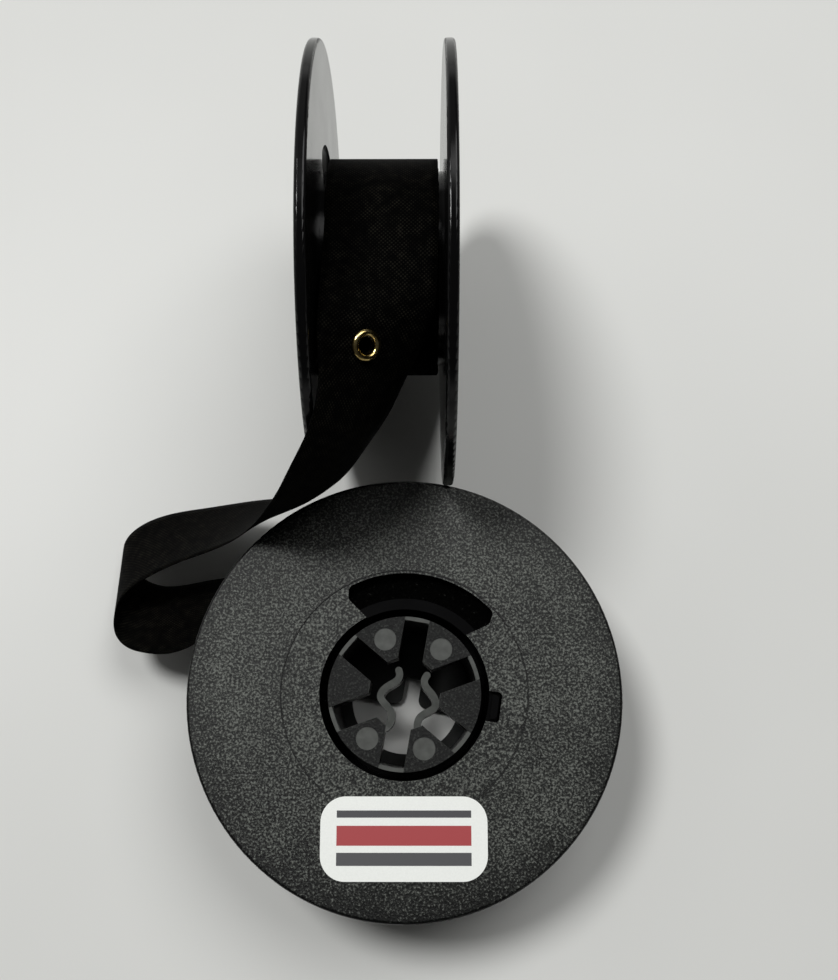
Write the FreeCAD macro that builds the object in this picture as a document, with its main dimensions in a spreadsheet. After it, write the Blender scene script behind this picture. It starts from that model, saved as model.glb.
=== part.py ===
import FreeCAD, Part
import math
import os
import re
import Sketcher

# Twin-spool typewriter ribbon: a full spool lying flat, an almost empty one standing on its rims,
# and the inked ribbon that joins them.
# The frame's origin is on the table under the lying spool's axis, with +Z up that axis.
# The standing spool's axis runs along X, so it stands behind (+Y) on the edges of both flanges.

SIZES = [
    # alias, millimetres or degrees, what it is
    ("flange_diameter", 54.0, "both flanges of a spool"),
    ("flange_thickness", 1.3, "flange wall"),
    ("overall_width", 16.9, "outside of one flange to outside of the other"),
    ("rim_round", 0.4, "rounding of each rim edge"),
    ("hub_zone_radius", 15.3, "fine step line round the hub on the outer faces"),
    ("hub_zone_step", 0.12, "how deep the faces lie inside that line"),
    ("barrel_radius", 11.9, "outside of the barrel that the ribbon is wound on"),
    ("barrel_wall", 1.36, "barrel wall"),
    ("base_opening_radius", 7.4, "opening in the moulded-on flange"),
    ("anchor_slit", 0.9, "slit in the barrel that holds the ribbon's end"),
    ("jaw_gap", 2.2, "slot between the two lower jaws"),
    ("jaw_slot_end", 2.9, "how far the jaws' slot reaches past the axis"),
    ("jaw_lip", 0.9, "how far the jaws reach past the axis the other way"),
    ("jaw_round", 1.2, "rounding of the jaws' corners at their slot"),
    ("latch_width", 3.0, "latch tab of the barrel"),
    ("latch_wall", 0.8, "latch tab's thickness"),
    ("latch_clearance", 0.35, "gap round the latch tab in its notch"),
    ("latch_drop", 0.35, "latch tab's top below the cap's face"),
    ("latch_round", 0.5, "outer corners of the tab and its notch"),
    ("latch_angle", -8.5, "where the latch stands round the hub"),
    ("window_radius", 15.0, "outer edge of the crescent window"),
    ("window_half_angle", 38.0, "half the window's arc"),
    ("window_corner_radius", 13.7, "the blunt tips of the window"),
    ("window_corner_angle", 41.3, "half angle at those tips"),
    ("window_foot_angle", 35.0, "half angle where the window meets the hole"),
    ("window_round", 0.9, "rounding of the window's tips"),
    ("hub_angle", 80.0, "direction of the hub's open slot"),
    ("hub_gap", 1.04, "between the hub's skirt and the barrel's bore"),
    ("hub_drop", 0.25, "hub's top below the flange's face"),
    ("hub_depth", 5.0, "depth of the six fingers"),
    ("hub_skin", 1.2, "wall of the cored fingers"),
    ("skirt_wall", 0.5, "thin wall round the hub"),
    ("skirt_drop", 0.3, "skirt's top below the fingers"),
    ("foot_height", 1.0, "foot ring that seats in the barrel"),
    ("seat_clearance", 0.05, "foot ring in the barrel's bore"),
    ("slot_width", 3.1, "slots between the fingers"),
    ("finger_tip", 4.4, "axis to the fingers' blunt tips"),
    ("mark_radius", 1.4, "ejector marks on four fingers"),
    ("mark_inset", 2.4, "hub's rim to the middle of those marks"),
    ("mark_depth", 0.12, "depth of the marks"),
    ("arm_wall", 0.88, "spring arms"),
    ("arm_depth", 4.6, "height of the spring arms"),
    ("arm_shift", 0.6, "how far the arms' middle lies off the axis"),
    ("ribbon_play", 0.65, "between a flange and the edge of the half-inch ribbon"),
    ("ribbon_thickness", 0.2, "inked nylon, with room for its weave"),
    ("ribbon_lift", 0.1, "free ribbon's ends above the rolls that they run to"),
    ("supply_turns", 8.5, "full roll's turns, from the barrel outwards"),
    ("takeup_turns", 1.2, "first turns on the empty spool"),
    ("turn_groove", 0.12, "depth of the lines between turns on a roll's sides"),
    ("supply_turn_lines", 9, "lines on the full roll's sides"),
    ("takeup_turn_lines", 2, "lines on the small roll's sides"),
    ("takeup_x", -2.38, "standing spool's middle"),
    ("spool_gap", 0.1, "standing spool's right flange behind the lying spool's rim"),
    ("eyelet_radius", 1.8, "brass eyelet's rolled rim"),
    ("eyelet_hole", 1.0, "its hole"),
    ("eyelet_wire", 0.45, "thickness of its rolled rim"),
    ("eyelet_play", 0.2, "round it in the ribbon"),
    ("eyelet_along", 15.2, "from the free ribbon's start to the eyelet"),
    ("eyelet_across", 5.95, "from the ribbon's first edge to the eyelet"),
    ("label_length", 20.1, "white sticker"),
    ("label_height", 9.8, "white sticker"),
    ("label_corner", 3.0, "its rounded corners"),
    ("label_thickness", 0.12, "paper and glue"),
    ("label_inset", 9.8, "flange's rim to the sticker's middle"),
]

# Stations of the free ribbon, chosen by eye from where it leaves the standing spool's roll over
# the top to where it meets the full roll: one edge, the other edge, and how far the middle of
# the strip bows towards the front (-Y) where it wraps the standing flange's rim. The edges give
# the strip's middle and its slant; its width is the rolls'.
FREE_RIBBON = [
    ((-8.95, 51.6, 40.2), (4.05, 51.6, 40.2), 0.0),
    ((-9.0, 46.0, 41.0), (3.8, 45.6, 40.3), 0.0),
    ((-9.0, 40.2, 43.0), (3.0, 39.7, 39.0), 0.0),
    ((-8.95, 37.0, 43.5), (1.8, 37.5, 37.2), 0.0),
    ((-8.95, 32.5, 43.6), (0.2, 34.5, 34.3), 0.1),
    ((-9.8, 28.0, 42.3), (-1.3, 31.7, 32.1), 0.6),
    ((-12.3, 24.0, 37.8), (-4.0, 28.9, 28.1), 1.1),
    ((-14.5, 21.8, 32.6), (-7.2, 26.5, 22.4), 1.2),
    ((-16.4, 20.8, 27.4), (-10.6, 25.5, 17.2), 0.9),
    ((-18.5, 20.1, 22.3), (-13.9, 25.6, 12.2), 0.3),
    ((-21.4, 19.2, 18.0), (-17.5, 26.3, 8.6), 0.0),
    ((-25.4, 18.1, 14.9), (-22.1, 26.6, 5.8), 0.0),
    ((-30.0, 17.0, 12.4), (-28.1, 26.2, 3.6), 0.0),
    ((-34.7, 15.2, 10.1), (-34.0, 25.5, 2.2), 0.0),
    ((-37.4, 13.4, 9.0), (-37.6, 24.1, 1.7), 0.0),
    ((-38.8, 10.7, 8.3), (-39.7, 21.9, 1.7), 0.0),
    ((-38.5, 8.0, 8.0), (-39.6, 19.4, 1.9), 0.0),
    ((-36.9, 6.4, 8.3), (-38.2, 17.7, 1.9), 0.0),
    ((-34.3, 5.6, 9.1), (-36.2, 16.2, 1.7), 0.0),
    ((-31.4, 5.4, 9.7), (-33.8, 15.5, 1.7), 0.0),
    ((-26.1, 7.4, 11.1), (-28.6, 16.1, 1.7), 0.0),
    ((-20.7, 11.4, 13.2), (-22.3, 17.1, 1.6), 0.0),
    ((-15.2, 15.3, 14.3), (-16.0, 18.0, 1.6), 0.0),
    ((-6.62, 19.52, 14.75), (-6.62, 19.52, 1.75), 0.0),
]

# One spring arm's middle line: along the open slot's direction, and away from the arms' middle.
SPRING_ARM = [(2.65, 1.78), (1.6, 1.65), (0.15, 3.1), (-0.8, 3.45), (-2.55, 1.8), (-3.6, 1.65), (-4.5, 2.1)]

doc = FreeCAD.newDocument("TypewriterRibbon")
sheet = doc.addObject("Spreadsheet::Sheet", "Params")
for row, (alias, number, note) in enumerate(SIZES, start=1):
    sheet.set("A%d" % row, alias)
    sheet.set("B%d" % row, str(number))
    sheet.set("C%d" % row, note)
    sheet.setAlias("B%d" % row, alias)
doc.recompute()

Z_AXIS = FreeCAD.Vector(0, 0, 1)
pieces = []


def size(alias):
    return float(getattr(sheet, alias))


def params(text):
    """Write an expression with the sheet's name before each alias."""
    known = {alias for alias, number, note in SIZES}
    return re.sub("[a-z_]+", lambda word: "Params." + word[0] if word[0] in known else word[0], text)


def value(text):
    return float(sheet.evalExpression(params(text)))


def origin_plane(body, role):
    return next(f for f in body.Origin.OriginFeatures if f.Role == role)


def new_body(name):
    return doc.addObject("PartDesign::Body", name)


def closed_sketch(body, name, plane, corners, arcs=None):
    """A closed outline: each corner is (x, y, which of them are pinned), by expressions.
    arcs maps the number of a segment to the radius of an arc about the origin."""
    arcs = arcs or {}
    sketch = body.newObject("Sketcher::SketchObject", name)
    sketch.AttachmentSupport = (origin_plane(body, plane), [""])
    sketch.MapMode = "FlatFace"
    here = [FreeCAD.Vector(value(x), value(y), 0) for x, y, pin in corners]
    count = len(here)
    starts = {}
    ends = {}
    for i in range(count):
        a, b = here[i], here[(i + 1) % count]
        if i in arcs:
            radius = value(arcs[i])
            begin = math.atan2(a.y, a.x)
            finish = math.atan2(b.y, b.x)
            circle = Part.Circle(FreeCAD.Vector(), Z_AXIS, radius)
            geo = sketch.addGeometry(Part.ArcOfCircle(circle, begin, finish))
        else:
            geo = sketch.addGeometry(Part.LineSegment(a, b))
        starts[i] = (geo, 1)
        ends[i] = (geo, 2)
    for i in range(count):
        sketch.addConstraint(Sketcher.Constraint("Coincident", *ends[i], *starts[(i + 1) % count]))
    for i, radius in arcs.items():
        sketch.addConstraint(Sketcher.Constraint("Coincident", starts[i][0], 3, -1, 1))
        fixed = sketch.addConstraint(Sketcher.Constraint("Radius", starts[i][0], value(radius)))
        sketch.setExpression("Constraints[%d]" % fixed, params(radius))
    for i, (x, y, pin) in enumerate(corners):
        for axis, text in (("X", x), ("Y", y)):
            if axis in pin:
                rule = Sketcher.Constraint("Distance" + axis, -1, 1, *starts[i], value(text))
                fixed = sketch.addConstraint(rule)
                sketch.setExpression("Constraints[%d]" % fixed, params(text))
    return sketch


def lift_and_turn(sketch, height, angle="0"):
    """Put a sketch at a height above its plane, turned about the spool's axis."""
    place = FreeCAD.Placement(FreeCAD.Vector(0, 0, value(height)), FreeCAD.Rotation(Z_AXIS, value(angle)))
    sketch.AttachmentOffset = place
    sketch.setExpression("AttachmentOffset.Base.z", params(height))
    if angle != "0":
        sketch.setExpression("AttachmentOffset.Rotation.Angle", params(angle))


def rectangle(body, name, x0, x1, half_y):
    low = "-(%s)" % half_y
    corners = [(x0, low, "XY"), (x1, low, "XY"), (x1, half_y, "XY"), (x0, half_y, "XY")]
    return closed_sketch(body, name, "XY_Plane", corners)


def revolve(body, name, sketch):
    feature = body.newObject("PartDesign::Revolution", name)
    feature.Profile = sketch
    feature.ReferenceAxis = (sketch, ["V_Axis"])
    feature.Angle = 360
    doc.recompute()


def upward(body, kind, name, sketch, length):
    """A pad, or a pocket turned to cut upwards."""
    feature = body.newObject("PartDesign::" + kind, name)
    feature.Profile = sketch
    feature.Reversed = kind == "Pocket"
    feature.setExpression("Length", params(length))
    before = 0.0 if body.Shape.isNull() else body.Shape.Volume
    doc.recompute()
    change = body.Shape.Volume - before
    if (change < 0) != (kind == "Pocket") or abs(change) < 1e-3:
        raise ValueError("%s changed the volume by %.4f" % (name, change))


def round_edges(body, name, wanted, radius):
    """Fillet the edges of the body's last shape that the test wanted picks."""
    base = body.Tip
    names = ["Edge%d" % i for i, edge in enumerate(base.Shape.Edges, start=1) if wanted(edge)]
    feature = body.newObject("PartDesign::Fillet", name)
    feature.Base = (base, names)
    feature.setExpression("Radius", params(radius))
    doc.recompute()


def is_rim(edge):
    rim = size("flange_diameter") / 2
    return isinstance(edge.Curve, Part.Circle) and abs(edge.Curve.Radius - rim) < CLOSE


def is_upright(edge):
    low, high = edge.BoundBox.ZMin, edge.BoundBox.ZMax
    return isinstance(edge.Curve, Part.Line) and high - low > 0.99 * edge.Length


def is_latch_corner(edge, reach):
    """An upright edge at the latch's height whose distance out along the latch is reach."""
    turned = FreeCAD.Rotation(Z_AXIS, -size("latch_angle")).multVec(edge.CenterOfMass)
    return is_upright(edge) and abs(turned.x - reach) < CLOSE and turned.z > value(SEAT)


def solid(kind, name, height="0", angle="0", **bound):
    """A primitive of the Part workbench, with its sizes and its height bound to the sheet."""
    made = doc.addObject("Part::" + kind, name)
    for key, text in bound.items():
        made.setExpression(key, params(text))
    made.Placement = FreeCAD.Placement(FreeCAD.Vector(), FreeCAD.Rotation(Z_AXIS, value(angle)))
    made.setExpression("Placement.Base.z", params(height))
    if angle != "0":
        made.setExpression("Placement.Rotation.Angle", params(angle))
    return made


def fused(name, shapes):
    made = doc.addObject("Part::MultiFuse", name)
    made.Shapes = shapes
    return made


def cut(name, base, tool):
    made = doc.addObject("Part::Cut", name)
    made.Base = base
    made.Tool = tool
    return made


def keep(made, label, place=None):
    """Note a finished piece under the name that its file takes."""
    made.Label = label
    made.Placement = place or FreeCAD.Placement()
    pieces.append(made)


BORE = "barrel_radius - barrel_wall"
SEAT = "overall_width - flange_thickness"
RIM = "flange_diameter / 2"
HUB_TOP = "overall_width - hub_drop"
HUB_RADIUS = "(barrel_radius - barrel_wall - hub_gap)"
MARK_RING = "(%s - mark_inset)" % HUB_RADIUS
RIBBON_WIDTH = "(overall_width - 2 * flange_thickness - 2 * ribbon_play)"
# The right flange of the standing spool stands just behind the lying spool's top rim.
TAKEUP_Y = ("sqrt((%s) ^ 2 - (takeup_x + overall_width / 2 - flange_thickness) ^ 2)"
            " + sqrt(overall_width * (flange_diameter - overall_width)) + spool_gap" % RIM)
CLOSE = 1e-6


def core(prefix, place):
    """The flange moulded with the barrel, its lower jaws, latch tab and anchor slit."""
    body = new_body(prefix + "_core")
    profile = closed_sketch(body, prefix + "_core_profile", "XZ_Plane", [
        ("base_opening_radius", "hub_zone_step", "XY"),
        ("hub_zone_radius", "hub_zone_step", "XY"),
        ("hub_zone_radius", "0", "XY"),
        (RIM, "0", "XY"),
        (RIM, "flange_thickness", "XY"),
        ("barrel_radius", "flange_thickness", "XY"),
        ("barrel_radius", SEAT, "XY"),
        (BORE, SEAT, "XY"),
        (BORE, "flange_thickness", "XY"),
        ("base_opening_radius", "flange_thickness", "XY"),
    ])
    revolve(body, prefix + "_core_turned", profile)
    round_edges(body, prefix + "_core_rim", is_rim, "rim_round")

    reach = "base_opening_radius + hub_zone_step"
    side = "sqrt((%s) ^ 2 - jaw_lip ^ 2)" % reach
    near = "-arm_shift - jaw_gap / 2"
    far = "-arm_shift + jaw_gap / 2"
    jaws = closed_sketch(body, prefix + "_jaws_outline", "XY_Plane", [
        ("-jaw_lip", "-%s" % side, "X"),
        ("-jaw_lip", side, "X"),
        ("-jaw_lip", far, "XY"),
        ("jaw_slot_end", far, "XY"),
        ("jaw_slot_end", near, "XY"),
        ("-jaw_lip", near, "XY"),
    ], arcs={0: reach})
    lift_and_turn(jaws, "hub_zone_step", "hub_angle")
    upward(body, "Pad", prefix + "_jaws", jaws, "flange_thickness - hub_zone_step")

    def is_jaw_corner(edge):
        turned = FreeCAD.Rotation(Z_AXIS, -size("hub_angle")).multVec(edge.CenterOfMass)
        off_slot = abs(abs(turned.y + size("arm_shift")) - size("jaw_gap") / 2)
        return is_upright(edge) and off_slot < CLOSE and abs(turned.x + size("jaw_lip")) < CLOSE

    round_edges(body, prefix + "_jaw_corners", is_jaw_corner, "jaw_round")

    slit = rectangle(body, prefix + "_slit_outline", BORE + " - 1", "barrel_radius + 1", "anchor_slit / 2")
    lift_and_turn(slit, "flange_thickness", "hub_angle + 100")
    upward(body, "Pocket", prefix + "_slit", slit, "overall_width - 2 * flange_thickness")

    latch_foot = BORE + " + latch_clearance"
    latch_face = latch_foot + " + latch_wall"
    latch = rectangle(body, prefix + "_latch_outline", latch_foot, latch_face, "latch_width / 2")
    lift_and_turn(latch, SEAT, "latch_angle")
    upward(body, "Pad", prefix + "_latch", latch, "flange_thickness - latch_drop")
    face = value(latch_face)
    round_edges(body, prefix + "_latch_corners", lambda edge: is_latch_corner(edge, face), "latch_round")
    keep(body, prefix + "_core", place)


def cap(prefix, place):
    """The loose flange, with its hole, its crescent window and the notch for the latch."""
    body = new_body(prefix + "_cap")
    profile = closed_sketch(body, prefix + "_cap_profile", "XZ_Plane", [
        (BORE, SEAT, "XY"),
        (RIM, SEAT, "XY"),
        (RIM, "overall_width", "XY"),
        ("hub_zone_radius", "overall_width", "XY"),
        ("hub_zone_radius", "overall_width - hub_zone_step", "XY"),
        (BORE, "overall_width - hub_zone_step", "XY"),
    ])
    revolve(body, prefix + "_cap_turned", profile)
    round_edges(body, prefix + "_cap_rim", is_rim, "rim_round")

    def polar(radius, angle):
        return "(%s) * cos(%s)" % (radius, angle), "(%s) * sin(%s)" % (radius, angle)

    arc_x, arc_y = polar("window_radius", "window_half_angle")
    tip_x, tip_y = polar("window_corner_radius", "window_corner_angle")
    foot_x, foot_y = polar(BORE + " - 1", "window_foot_angle")
    window = closed_sketch(body, prefix + "_window_outline", "XY_Plane", [
        (arc_x, "-" + arc_y, "Y"),
        (arc_x, arc_y, "Y"),
        (tip_x, tip_y, "XY"),
        (foot_x, foot_y, "XY"),
        (foot_x, "-" + foot_y, "XY"),
        (tip_x, "-" + tip_y, "XY"),
    ], arcs={0: "window_radius"})
    lift_and_turn(window, SEAT, "hub_angle")
    upward(body, "Pocket", prefix + "_window", window, "flange_thickness")

    def is_window_tip(edge):
        middle = edge.CenterOfMass
        reach = math.hypot(middle.x, middle.y)
        return is_upright(edge) and size("window_corner_radius") - 0.1 < reach < size("window_radius") + 0.1

    round_edges(body, prefix + "_window_tips", is_window_tip, "window_round")

    half = "latch_width / 2 + latch_clearance"
    notch = rectangle(body, prefix + "_notch_outline", BORE + " - 1", "barrel_radius + hub_zone_step", half)
    lift_and_turn(notch, SEAT, "latch_angle")
    upward(body, "Pocket", prefix + "_notch", notch, "flange_thickness")
    notch_end = value("barrel_radius + hub_zone_step")
    round_edges(body, prefix + "_notch_corners", lambda edge: is_latch_corner(edge, notch_end),
                "latch_round")
    keep(body, prefix + "_cap", place)


def finger_cores():
    """Six hollows that leave an even wall inside the fingers, open below."""
    inset = size("hub_skin")
    side = size("slot_width") / 2 + inset
    slope = math.tan(math.radians(30))
    offset = side / math.cos(math.radians(30))
    near = size("finger_tip") + inset
    far = value(HUB_RADIUS) - inset
    corners = [(near, near * slope - offset), (far, far * slope - offset)]
    outline = corners + [(x, -y) for x, y in reversed(corners)]
    points = [FreeCAD.Vector(x, y, 0) for x, y in outline]
    face = Part.Face(Part.makePolygon(points + points[:1]))
    hollow = face.extrude(FreeCAD.Vector(0, 0, size("hub_depth") - inset))
    hollow.translate(FreeCAD.Vector(0, 0, value(HUB_TOP) - size("hub_depth")))
    turned = []
    for k in range(6):
        turned.append(hollow.copy())
        turned[-1].rotate(FreeCAD.Vector(), Z_AXIS, size("hub_angle") + 30 + 60 * k)
    return Part.makeCompound(turned)


def spring_arms():
    """Two wavy walls, mirror images, that spring against the machine's spindle."""
    half = size("arm_wall") / 2
    arms = []
    for side in (1, -1):
        points = [FreeCAD.Vector(u, side * v - size("arm_shift"), 0) for u, v in SPRING_ARM]
        line = Part.BSplineCurve()
        line.interpolate(points)
        first, last = line.FirstParameter, line.LastParameter
        count = 4 * (len(points) - 1)
        edges = {1: [], -1: []}
        for i in range(count + 1):
            at = first + (last - first) * i / count
            along = line.tangent(at)[0]
            across = FreeCAD.Vector(-along.y, along.x, 0)
            for way in edges:
                edges[way].append(line.value(at) + across * (half * way))
        walls = {}
        for way, stations in edges.items():
            walls[way] = Part.BSplineCurve()
            walls[way].interpolate(stations)
        start, end = line.tangent(first)[0], line.tangent(last)[0]
        tips = [
            Part.Arc(edges[1][0], line.value(first) - start * half, edges[-1][0]),
            Part.Arc(edges[1][-1], line.value(last) + end * half, edges[-1][-1]),
        ]
        wire = Part.Wire(Part.__sortEdges__([c.toShape() for c in [*walls.values(), *tips]]))
        arm = Part.Face(wire).extrude(FreeCAD.Vector(0, 0, size("arm_depth")))
        arm.translate(FreeCAD.Vector(0, 0, value(HUB_TOP) - size("arm_depth")))
        arm.rotate(FreeCAD.Vector(), Z_AXIS, size("hub_angle"))
        arms.append(arm)
    return arms[0].fuse(arms[1])


def plain_shape(name, shape):
    made = doc.addObject("Part::Feature", name)
    made.Shape = shape
    return made


def hub(prefix, place):
    """The gripping hub: six cored fingers, a thin skirt, a foot ring and two spring arms."""
    bottom = HUB_TOP + " - hub_depth"
    inner = HUB_RADIUS + " - skirt_wall"
    disc = solid("Cylinder", prefix + "_hub_disc", bottom, Radius=HUB_RADIUS, Height="hub_depth")
    tools = []
    for k in range(3):
        angle = "hub_angle + %d" % (60 * k)
        slot = solid("Box", prefix + "_hub_slot%d" % k, bottom, angle, Width="slot_width",
                     Length="2 * (%s)" % inner, Height="hub_depth")
        corner_x = "-(%s) * cos(%s) + slot_width / 2 * sin(%s)" % (inner, angle, angle)
        corner_y = "-(%s) * sin(%s) - slot_width / 2 * cos(%s)" % (inner, angle, angle)
        slot.setExpression("Placement.Base.x", params(corner_x))
        slot.setExpression("Placement.Base.y", params(corner_y))
        tools.append(slot)
    middle = solid("Prism", prefix + "_hub_middle", bottom, "hub_angle", Height="hub_depth",
                   Circumradius="finger_tip / cos(30)")
    middle.Polygon = 6
    tools.append(middle)
    for turn in (30, -30, 150, -150):
        angle = "hub_angle + %d" % turn
        mark = solid("Cylinder", prefix + "_hub_mark", HUB_TOP + " - mark_depth",
                     Radius="mark_radius", Height="2 * mark_depth")
        mark.setExpression("Placement.Base.x", params("%s * cos(%s)" % (MARK_RING, angle)))
        mark.setExpression("Placement.Base.y", params("%s * sin(%s)" % (MARK_RING, angle)))
        tools.append(mark)
    tools.append(plain_shape(prefix + "_hub_hollows", finger_cores()))
    fingers = cut(prefix + "_hub_fingers", disc, fused(prefix + "_hub_tools", tools))

    tall = "overall_width - hub_drop - skirt_drop - flange_thickness"
    skirt = cut(prefix + "_hub_skirt",
                solid("Cylinder", prefix + "_skirt_out", "flange_thickness", Radius=HUB_RADIUS, Height=tall),
                solid("Cylinder", prefix + "_skirt_in", "flange_thickness", Radius=inner, Height=tall))
    foot = cut(prefix + "_hub_foot",
               solid("Cylinder", prefix + "_foot_out", "flange_thickness", Height="foot_height",
                     Radius="barrel_radius - barrel_wall - seat_clearance"),
               solid("Cylinder", prefix + "_foot_in", "flange_thickness", Height="foot_height", Radius=inner))
    arms = plain_shape(prefix + "_hub_arms", spring_arms())
    keep(fused(prefix + "_hub", [fingers, skirt, foot, arms]), prefix + "_hub", place)


def roll_radius(prefix):
    return value("barrel_radius + %s_turns" % prefix)


def roll(prefix, place):
    """The wound turns as one solid, with lines between turns on both sides."""
    inside, outside = size("barrel_radius"), roll_radius(prefix)
    low = value("flange_thickness + ribbon_play")
    high = low + value(RIBBON_WIDTH)
    groove = size("turn_groove")
    lines = int(size(prefix + "_turn_lines"))
    pitch = (outside - inside) / (lines + 1)
    radii = [inside + pitch * (i + 1) for i in range(lines)]
    lower = [(r + dr, low + dz) for r in radii for dr, dz in ((-groove, 0), (0, groove), (groove, 0))]
    upper = [(r, low + high - z) for r, z in reversed(lower)]
    outline = [(inside, low), *lower, (outside, low), (outside, high), *upper, (inside, high)]
    points = [FreeCAD.Vector(r, 0, z) for r, z in outline]
    face = Part.Face(Part.makePolygon(points + points[:1]))
    made = plain_shape(prefix + "_roll", face.revolve(FreeCAD.Vector(), Z_AXIS, 360))
    keep(made, prefix + "_roll", place)


def sticker():
    """The white label on the lying spool's cap, bare."""
    body = new_body("spool_label")
    half_length, half_height = "label_length / 2", "label_height / 2"
    corners = []
    for x, y in (("-", "-"), ("", "-"), ("", ""), ("-", "")):
        corners.append((x + half_length, "label_inset - %s + (%s%s)" % (RIM, y, half_height), "XY"))
    outline = closed_sketch(body, "label_outline", "XY_Plane", corners)
    lift_and_turn(outline, "overall_width")
    upward(body, "Pad", "label_sheet", outline, "label_thickness")
    round_edges(body, "label_corners", is_upright, "label_corner")
    keep(body, "spool_label")


def strip_section(edge_a, edge_b, bow, along):
    """A closed thin cross-section of the ribbon, square to the way it runs."""
    across = (edge_b - edge_a).normalize()
    face_way = along.cross(across).normalize() * (size("ribbon_thickness") / 2)
    middle = (edge_a + edge_b) * 0.5 + FreeCAD.Vector(0, -bow, 0)
    sides = []
    for way in (1, -1):
        curve = Part.BSplineCurve()
        curve.interpolate([p + face_way * way for p in (edge_a, middle, edge_b)])
        sides.append(curve.toShape())
    ends = [Part.makeLine(p + face_way, p - face_way) for p in (edge_a, edge_b)]
    return Part.Wire([sides[0], ends[1], sides[1], ends[0]])


class RibbonPath:
    """Smooth curves through the free ribbon's stations, measured along its middle."""

    def __init__(self):
        rows = [(FreeCAD.Vector(*a), FreeCAD.Vector(*b)) for a, b, bow in FREE_RIBBON]
        self.bows = [row[2] for row in FREE_RIBBON]
        middles = [(a + b) * 0.5 for a, b in rows]
        halves = [(b - a).normalize() * (value(RIBBON_WIDTH) / 2) for a, b in rows]
        self.marks = [0.0]
        for here, there in zip(middles, middles[1:]):
            self.marks.append(self.marks[-1] + (there - here).Length)
        self.length = self.marks[-1]

        # Each station moves with the rolls, most of all the stations near them.
        start, end = self.run_to()
        start_shift, end_shift = start - middles[0], end - middles[-1]
        placed = []
        for mark, middle in zip(self.marks, middles):
            share = mark / self.length
            placed.append(middle + start_shift * (1 - share) ** 2 + end_shift * share ** 2)
        self.edges = [Part.BSplineCurve(), Part.BSplineCurve()]
        for curve, way in zip(self.edges, (-1, 1)):
            curve.interpolate(Points=[m + h * way for m, h in zip(placed, halves)], Parameters=self.marks)

    def run_to(self):
        """The middle of the ribbon where it leaves the top of one roll and where it meets the other."""
        lay = value("ribbon_thickness / 2 + ribbon_lift")
        top = value(RIM) + roll_radius("takeup") + lay
        start = FreeCAD.Vector(size("takeup_x"), value(TAKEUP_Y), top)
        edge_a, edge_b, bow = FREE_RIBBON[-1]
        way = FreeCAD.Vector(edge_a[0] + edge_b[0], edge_a[1] + edge_b[1], 0).normalize()
        end = way * (roll_radius("supply") + lay)
        end.z = value("overall_width / 2")
        return start, end

    def at(self, mark):
        """Both edges, the bow and the way the ribbon runs, at a distance along it."""
        edge_a, edge_b = [curve.value(mark) for curve in self.edges]
        way_a, way_b = [curve.getD1(mark)[1] for curve in self.edges]
        i = max(k for k in range(len(self.marks) - 1) if self.marks[k] <= mark + CLOSE)
        share = (mark - self.marks[i]) / (self.marks[i + 1] - self.marks[i])
        bow = self.bows[i] * (1 - share) + self.bows[i + 1] * share
        return edge_a, edge_b, bow, (way_a + way_b).normalize()


RIBBON_SECTIONS = 60


def eyelet_place():
    edge_a, edge_b, bow, along = RibbonPath().at(size("eyelet_along"))
    across = (edge_b - edge_a).normalize()
    facing = along.cross(across).normalize()
    if facing.z < 0:
        facing = facing * -1
    return FreeCAD.Placement(edge_a + across * size("eyelet_across"), FreeCAD.Rotation(Z_AXIS, facing))


def free_ribbon():
    """The stretch of ribbon between the two rolls, twisted once, with the eyelet's hole."""
    path = RibbonPath()
    rows = [path.at(path.length * i / RIBBON_SECTIONS) for i in range(RIBBON_SECTIONS + 1)]
    strip = Part.makeLoft([strip_section(*row) for row in rows], True, False)
    print("free ribbon: length %.1f mm, volume %.1f of %.1f mm3" % (
        path.length, strip.Volume, path.length * value(RIBBON_WIDTH + " * ribbon_thickness")))
    reach = 4 * size("ribbon_thickness")
    hole = Part.makeCylinder(value("eyelet_hole + eyelet_wire / 2 + eyelet_play"), 2 * reach,
                             FreeCAD.Vector(0, 0, -reach))
    hole.Placement = eyelet_place() * hole.Placement
    keep(plain_shape("free_ribbon", strip.cut(hole)), "free_ribbon")


def eyelet():
    """The brass eyelet that reverses the machine's feed: a short tube rolled over at both ends."""
    hole, rim, wire = size("eyelet_hole"), size("eyelet_radius"), size("eyelet_wire")
    seat = value("ribbon_thickness / 2 + eyelet_play")
    tube = hole + wire / 2

    def at(radius, height):
        return FreeCAD.Vector(radius, 0, height)

    front = Part.Arc(at(hole, seat), at((hole + rim) / 2, seat + wire), at(rim, seat))
    back = Part.Arc(at(hole, -seat), at((hole + rim) / 2, -seat - wire * 0.7), at(rim, -seat))
    corners = [at(rim, seat), at(tube, seat), at(tube, -seat), at(rim, -seat)]
    edges = [front.toShape(), back.toShape(), Part.makeLine(at(hole, -seat), at(hole, seat))]
    edges += [Part.makeLine(a, b) for a, b in zip(corners, corners[1:])]
    face = Part.Face(Part.Wire(Part.__sortEdges__(edges)))
    made = plain_shape("ribbon_eyelet", face.revolve(FreeCAD.Vector(), Z_AXIS, 360))
    keep(made, "ribbon_eyelet", eyelet_place())


def spool(prefix, place):
    core(prefix, place)
    cap(prefix, place)
    hub(prefix, place)
    roll(prefix, place)


# The standing spool: its own axis is turned to point along -X, and its middle lies at takeup_x.
standing = FreeCAD.Placement(
    FreeCAD.Vector(value("takeup_x + overall_width / 2"), value(TAKEUP_Y), value(RIM)),
    FreeCAD.Rotation(FreeCAD.Vector(0, 1, 0), -90))

spool("supply", FreeCAD.Placement())
spool("takeup", standing)
sticker()
free_ribbon()
eyelet()
doc.recompute()

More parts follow.
